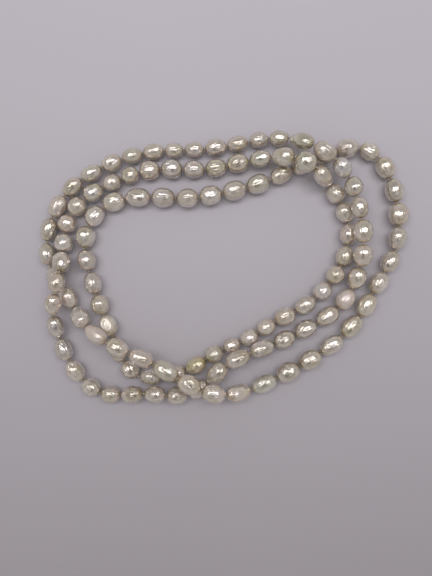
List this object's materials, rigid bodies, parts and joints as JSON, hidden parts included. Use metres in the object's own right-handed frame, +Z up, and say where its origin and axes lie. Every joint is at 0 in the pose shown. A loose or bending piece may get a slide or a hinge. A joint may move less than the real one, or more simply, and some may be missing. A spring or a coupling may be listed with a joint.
{
  "type": "pearl rope necklace",
  "caption": "Endless rope of oval freshwater pearls strung on knotted silk thread, coiled loosely on a flat surface, with bights that lift and pearls that spin on the thread.",
  "frame": {"origin": "middle of the rope's outline, on the surface that the rope lies on", "axes": "+X along the long side of the coiled rope, +Y across it, +Z up from the surface"},
  "size_m": [0.1662, 0.1231, 0.0173],
  "materials": {
    "nacre": "gloss",
    "silk": "matte"
  },
  "bodies": {
    "strand": {"silk_thread": "silk", "pearls_middle_round": "nacre", "pearls_inner_round": "nacre", "pearls_outer_round": "nacre", "pearls_at_crossings": "nacre"},
    "outer_bight": {"thread_outer_bight": "silk"},
    "left_bight": {"thread_left_bight": "silk"},
    "inner_bight": {"thread_inner_bight": "silk"},
    "right_bight": {"thread_right_bight": "silk"},
    "pearl_002": {"pearl_002": "nacre"},
    "pearl_003": {"pearl_003": "nacre"},
    "pearl_004": {"pearl_004": "nacre"},
    "pearl_005": {"pearl_005": "nacre"},
    "pearl_006": {"pearl_006": "nacre"},
    "pearl_007": {"pearl_007": "nacre"},
    "pearl_008": {"pearl_008": "nacre"},
    "pearl_009": {"pearl_009": "nacre"},
    "pearl_010": {"pearl_010": "nacre"},
    "pearl_011": {"pearl_011": "nacre"},
    "pearl_012": {"pearl_012": "nacre"},
    "pearl_034": {"pearl_034": "nacre"},
    "pearl_035": {"pearl_035": "nacre"},
    "pearl_036": {"pearl_036": "nacre"},
    "pearl_037": {"pearl_037": "nacre"},
    "pearl_038": {"pearl_038": "nacre"},
    "pearl_040": {"pearl_040": "nacre"},
    "pearl_041": {"pearl_041": "nacre"},
    "pearl_042": {"pearl_042": "nacre"},
    "pearl_043": {"pearl_043": "nacre"},
    "pearl_044": {"pearl_044": "nacre"},
    "pearl_045": {"pearl_045": "nacre"},
    "pearl_046": {"pearl_046": "nacre"},
    "pearl_047": {"pearl_047": "nacre"},
    "pearl_048": {"pearl_048": "nacre"},
    "pearl_049": {"pearl_049": "nacre"},
    "pearl_050": {"pearl_050": "nacre"},
    "pearl_051": {"pearl_051": "nacre"},
    "pearl_052": {"pearl_052": "nacre"},
    "pearl_053": {"pearl_053": "nacre"},
    "pearl_054": {"pearl_054": "nacre"},
    "pearl_055": {"pearl_055": "nacre"},
    "pearl_077": {"pearl_077": "nacre"},
    "pearl_078": {"pearl_078": "nacre"},
    "pearl_079": {"pearl_079": "nacre"},
    "pearl_080": {"pearl_080": "nacre"},
    "pearl_081": {"pearl_081": "nacre"},
    "pearl_082": {"pearl_082": "nacre"},
    "pearl_083": {"pearl_083": "nacre"},
    "pearl_084": {"pearl_084": "nacre"},
    "pearl_085": {"pearl_085": "nacre"},
    "pearl_086": {"pearl_086": "nacre"},
    "pearl_091": {"pearl_091": "nacre"},
    "pearl_092": {"pearl_092": "nacre"},
    "pearl_093": {"pearl_093": "nacre"},
    "pearl_094": {"pearl_094": "nacre"},
    "pearl_095": {"pearl_095": "nacre"},
    "pearl_096": {"pearl_096": "nacre"},
    "pearl_097": {"pearl_097": "nacre"},
    "pearl_098": {"pearl_098": "nacre"},
    "pearl_099": {"pearl_099": "nacre"}
  },
  "joints": [
    {"name": "outer_bight_lift", "type": "hinge", "parent": "strand", "child": "outer_bight", "pos_m": [-0.08005, 0.01127, 0.00385], "axis": [0.8956, 0.4448, -0.001], "range_deg": [0, 30]},
    {"name": "left_bight_lift", "type": "hinge", "parent": "strand", "child": "left_bight", "pos_m": [-0.04589, -0.05776, 0.00406], "axis": [-0.6321, 0.7713, 0.074], "range_deg": [0, 30]},
    {"name": "inner_bight_lift", "type": "hinge", "parent": "strand", "child": "inner_bight", "pos_m": [-0.06042, -0.00195, 0.00416], "axis": [0.8921, 0.4519, 0.0023], "range_deg": [0, 30]},
    {"name": "right_bight_lift", "type": "hinge", "parent": "strand", "child": "right_bight", "pos_m": [0.06089, 0.05461, 0.00447], "axis": [-0.0871, -0.9962, -0.0036], "range_deg": [0, 30]},
    {"name": "pearl_002_spin", "type": "hinge", "parent": "outer_bight", "child": "pearl_002", "pos_m": [-0.07872, 0.01695, 0.0038], "axis": [0.2284, 0.9735, -0.009], "continuous": true},
    {"name": "pearl_003_spin", "type": "hinge", "parent": "outer_bight", "child": "pearl_003", "pos_m": [-0.07463, 0.02739, 0.0038], "axis": [0.4929, 0.8701, 0.0092], "continuous": true},
    {"name": "pearl_004_spin", "type": "hinge", "parent": "outer_bight", "child": "pearl_004", "pos_m": [-0.06789, 0.03609, 0.0039], "axis": [0.7241, 0.6896, 0.0096], "continuous": true},
    {"name": "pearl_005_spin", "type": "hinge", "parent": "outer_bight", "child": "pearl_005", "pos_m": [-0.05937, 0.0424, 0.00395], "axis": [0.8726, 0.4884, 0], "continuous": true},
    {"name": "pearl_006_spin", "type": "hinge", "parent": "outer_bight", "child": "pearl_006", "pos_m": [-0.05034, 0.04697, 0.00395], "axis": [0.9116, 0.4112, 0], "continuous": true},
    {"name": "pearl_007_spin", "type": "hinge", "parent": "outer_bight", "child": "pearl_007", "pos_m": [-0.04108, 0.05022, 0.0038], "axis": [0.9678, 0.2498, -0.0316], "continuous": true},
    {"name": "pearl_008_spin", "type": "hinge", "parent": "outer_bight", "child": "pearl_008", "pos_m": [-0.03152, 0.05207, 0.00364], "axis": [0.992, 0.1264, 0], "continuous": true},
    {"name": "pearl_009_spin", "type": "hinge", "parent": "outer_bight", "child": "pearl_009", "pos_m": [-0.02228, 0.05272, 0.00359], "axis": [0.9999, 0.0105, -0.0117], "continuous": true},
    {"name": "pearl_010_spin", "type": "hinge", "parent": "outer_bight", "child": "pearl_010", "pos_m": [-0.01324, 0.05297, 0.00364], "axis": [0.9988, 0.0442, 0.0226], "continuous": true},
    {"name": "pearl_011_spin", "type": "hinge", "parent": "outer_bight", "child": "pearl_011", "pos_m": [-0.00358, 0.05397, 0.00374], "axis": [0.9878, 0.1555, 0], "continuous": true},
    {"name": "pearl_012_spin", "type": "hinge", "parent": "outer_bight", "child": "pearl_012", "pos_m": [0.0063, 0.05568, 0.00374], "axis": [0.9827, 0.1852, 0], "continuous": true},
    {"name": "pearl_034_spin", "type": "hinge", "parent": "left_bight", "child": "pearl_034", "pos_m": [-0.05074, -0.05724, 0.004], "axis": [-0.9942, 0.1069, -0.0108], "continuous": true},
    {"name": "pearl_035_spin", "type": "hinge", "parent": "left_bight", "child": "pearl_035", "pos_m": [-0.05953, -0.0539, 0.00395], "axis": [-0.8191, 0.5737, 0], "continuous": true},
    {"name": "pearl_036_spin", "type": "hinge", "parent": "left_bight", "child": "pearl_036", "pos_m": [-0.06667, -0.04661, 0.00395], "axis": [-0.5737, 0.8191, 0], "continuous": true},
    {"name": "pearl_037_spin", "type": "hinge", "parent": "left_bight", "child": "pearl_037", "pos_m": [-0.07196, -0.03695, 0.0039], "axis": [-0.3842, 0.9232, -0.0092], "continuous": true},
    {"name": "pearl_038_spin", "type": "hinge", "parent": "left_bight", "child": "pearl_038", "pos_m": [-0.07492, -0.0266, 0.00568], "axis": [-0.1412, 0.9318, 0.3343], "continuous": true},
    {"name": "pearl_040_spin", "type": "hinge", "parent": "strand", "child": "pearl_040", "pos_m": [-0.07246, -0.00711, 0.0113], "axis": [0.2394, 0.9708, 0.0122], "continuous": true},
    {"name": "pearl_041_spin", "type": "hinge", "parent": "strand", "child": "pearl_041", "pos_m": [-0.07144, 0.00199, 0.00828], "axis": [-0.0266, 0.8173, -0.5756], "continuous": true},
    {"name": "pearl_042_spin", "type": "hinge", "parent": "strand", "child": "pearl_042", "pos_m": [-0.0716, 0.01087, 0.00476], "axis": [-0.0034, 0.994, -0.1089], "continuous": true},
    {"name": "pearl_043_spin", "type": "hinge", "parent": "strand", "child": "pearl_043", "pos_m": [-0.07029, 0.01953, 0.00421], "axis": [0.3044, 0.9525, -0.0119], "continuous": true},
    {"name": "pearl_044_spin", "type": "hinge", "parent": "strand", "child": "pearl_044", "pos_m": [-0.06588, 0.02724, 0.00416], "axis": [0.6568, 0.754, 0], "continuous": true},
    {"name": "pearl_045_spin", "type": "hinge", "parent": "strand", "child": "pearl_045", "pos_m": [-0.05855, 0.03351, 0.00411], "axis": [0.839, 0.544, -0.0102], "continuous": true},
    {"name": "pearl_046_spin", "type": "hinge", "parent": "strand", "child": "pearl_046", "pos_m": [-0.05017, 0.0381, 0.004], "axis": [0.9142, 0.4051, -0.0115], "continuous": true},
    {"name": "pearl_047_spin", "type": "hinge", "parent": "strand", "child": "pearl_047", "pos_m": [-0.04201, 0.04131, 0.00416], "axis": [0.9446, 0.3246, 0.0486], "continuous": true},
    {"name": "pearl_048_spin", "type": "hinge", "parent": "strand", "child": "pearl_048", "pos_m": [-0.03316, 0.04347, 0.00437], "axis": [0.9875, 0.1576, 0], "continuous": true},
    {"name": "pearl_049_spin", "type": "hinge", "parent": "strand", "child": "pearl_049", "pos_m": [-0.02332, 0.04414, 0.00437], "axis": [0.9998, -0.0186, 0], "continuous": true},
    {"name": "pearl_050_spin", "type": "hinge", "parent": "strand", "child": "pearl_050", "pos_m": [-0.01329, 0.04396, 0.00426], "axis": [0.9996, -0.0187, -0.0207], "continuous": true},
    {"name": "pearl_051_spin", "type": "hinge", "parent": "strand", "child": "pearl_051", "pos_m": [-0.00342, 0.04468, 0.00421], "axis": [0.9862, 0.1654, 0.0106], "continuous": true},
    {"name": "pearl_052_spin", "type": "hinge", "parent": "strand", "child": "pearl_052", "pos_m": [0.00642, 0.04658, 0.00441], "axis": [0.9766, 0.213, 0.0292], "continuous": true},
    {"name": "pearl_053_spin", "type": "hinge", "parent": "strand", "child": "pearl_053", "pos_m": [0.01646, 0.04828, 0.0057], "axis": [0.9684, 0.1169, 0.2203], "continuous": true},
    {"name": "pearl_054_spin", "type": "hinge", "parent": "strand", "child": "pearl_054", "pos_m": [0.0261, 0.04803, 0.00979], "axis": [0.8304, -0.1582, 0.5343], "continuous": true},
    {"name": "pearl_055_spin", "type": "hinge", "parent": "strand", "child": "pearl_055", "pos_m": [0.03527, 0.04482, 0.01287], "axis": [0.89, -0.4556, 0.0194], "continuous": true},
    {"name": "pearl_077_spin", "type": "hinge", "parent": "inner_bight", "child": "pearl_077", "pos_m": [-0.06161, 0.00321, 0.00426], "axis": [-0.2229, 0.9746, 0.0198], "continuous": true},
    {"name": "pearl_078_spin", "type": "hinge", "parent": "inner_bight", "child": "pearl_078", "pos_m": [-0.06196, 0.01352, 0.00437], "axis": [0.1529, 0.9882, 0], "continuous": true},
    {"name": "pearl_079_spin", "type": "hinge", "parent": "inner_bight", "child": "pearl_079", "pos_m": [-0.05782, 0.02306, 0.00432], "axis": [0.6151, 0.7884, -0.0096], "continuous": true},
    {"name": "pearl_080_spin", "type": "hinge", "parent": "inner_bight", "child": "pearl_080", "pos_m": [-0.04931, 0.02929, 0.00437], "axis": [0.9352, 0.3536, 0.019], "continuous": true},
    {"name": "pearl_081_spin", "type": "hinge", "parent": "inner_bight", "child": "pearl_081", "pos_m": [-0.03834, 0.03146, 0.00452], "axis": [0.9991, 0.0425, 0.0088], "continuous": true},
    {"name": "pearl_082_spin", "type": "hinge", "parent": "inner_bight", "child": "pearl_082", "pos_m": [-0.02699, 0.03132, 0.00458], "axis": [0.9975, -0.0708, 0], "continuous": true},
    {"name": "pearl_083_spin", "type": "hinge", "parent": "inner_bight", "child": "pearl_083", "pos_m": [-0.01627, 0.03116, 0.00458], "axis": [0.999, 0.0449, 0], "continuous": true},
    {"name": "pearl_084_spin", "type": "hinge", "parent": "inner_bight", "child": "pearl_084", "pos_m": [-0.00581, 0.0323, 0.00458], "axis": [0.9853, 0.1706, 0], "continuous": true},
    {"name": "pearl_085_spin", "type": "hinge", "parent": "inner_bight", "child": "pearl_085", "pos_m": [0.00482, 0.03444, 0.00458], "axis": [0.9749, 0.2226, 0], "continuous": true},
    {"name": "pearl_086_spin", "type": "hinge", "parent": "inner_bight", "child": "pearl_086", "pos_m": [0.01542, 0.0374, 0.00447], "axis": [0.9488, 0.3153, -0.0187], "continuous": true},
    {"name": "pearl_091_spin", "type": "hinge", "parent": "right_bight", "child": "pearl_091", "pos_m": [0.06549, 0.05205, 0.00426], "axis": [0.8727, -0.4865, -0.0405], "continuous": true},
    {"name": "pearl_092_spin", "type": "hinge", "parent": "right_bight", "child": "pearl_092", "pos_m": [0.07261, 0.04475, 0.00416], "axis": [0.4918, -0.8705, 0.0188], "continuous": true},
    {"name": "pearl_093_spin", "type": "hinge", "parent": "right_bight", "child": "pearl_093", "pos_m": [0.07661, 0.0345, 0.00442], "axis": [0.2333, -0.972, 0.0277], "continuous": true},
    {"name": "pearl_094_spin", "type": "hinge", "parent": "right_bight", "child": "pearl_094", "pos_m": [0.07848, 0.02369, 0.00458], "axis": [0.1041, -0.9946, 0], "continuous": true},
    {"name": "pearl_095_spin", "type": "hinge", "parent": "right_bight", "child": "pearl_095", "pos_m": [0.07819, 0.01287, 0.00442], "axis": [-0.156, -0.9873, -0.0283], "continuous": true},
    {"name": "pearl_096_spin", "type": "hinge", "parent": "right_bight", "child": "pearl_096", "pos_m": [0.07478, 0.00259, 0.00421], "axis": [-0.4655, -0.885, -0.0096], "continuous": true},
    {"name": "pearl_097_spin", "type": "hinge", "parent": "right_bight", "child": "pearl_097", "pos_m": [0.06964, -0.00706, 0.00416], "axis": [-0.4753, -0.8798, 0], "continuous": true},
    {"name": "pearl_098_spin", "type": "hinge", "parent": "right_bight", "child": "pearl_098", "pos_m": [0.06425, -0.01698, 0.00416], "axis": [-0.4783, -0.8782, 0], "continuous": true},
    {"name": "pearl_099_spin", "type": "hinge", "parent": "right_bight", "child": "pearl_099", "pos_m": [0.05748, -0.02655, 0.00416], "axis": [-0.6661, -0.7458, 0], "continuous": true}
  ]
}
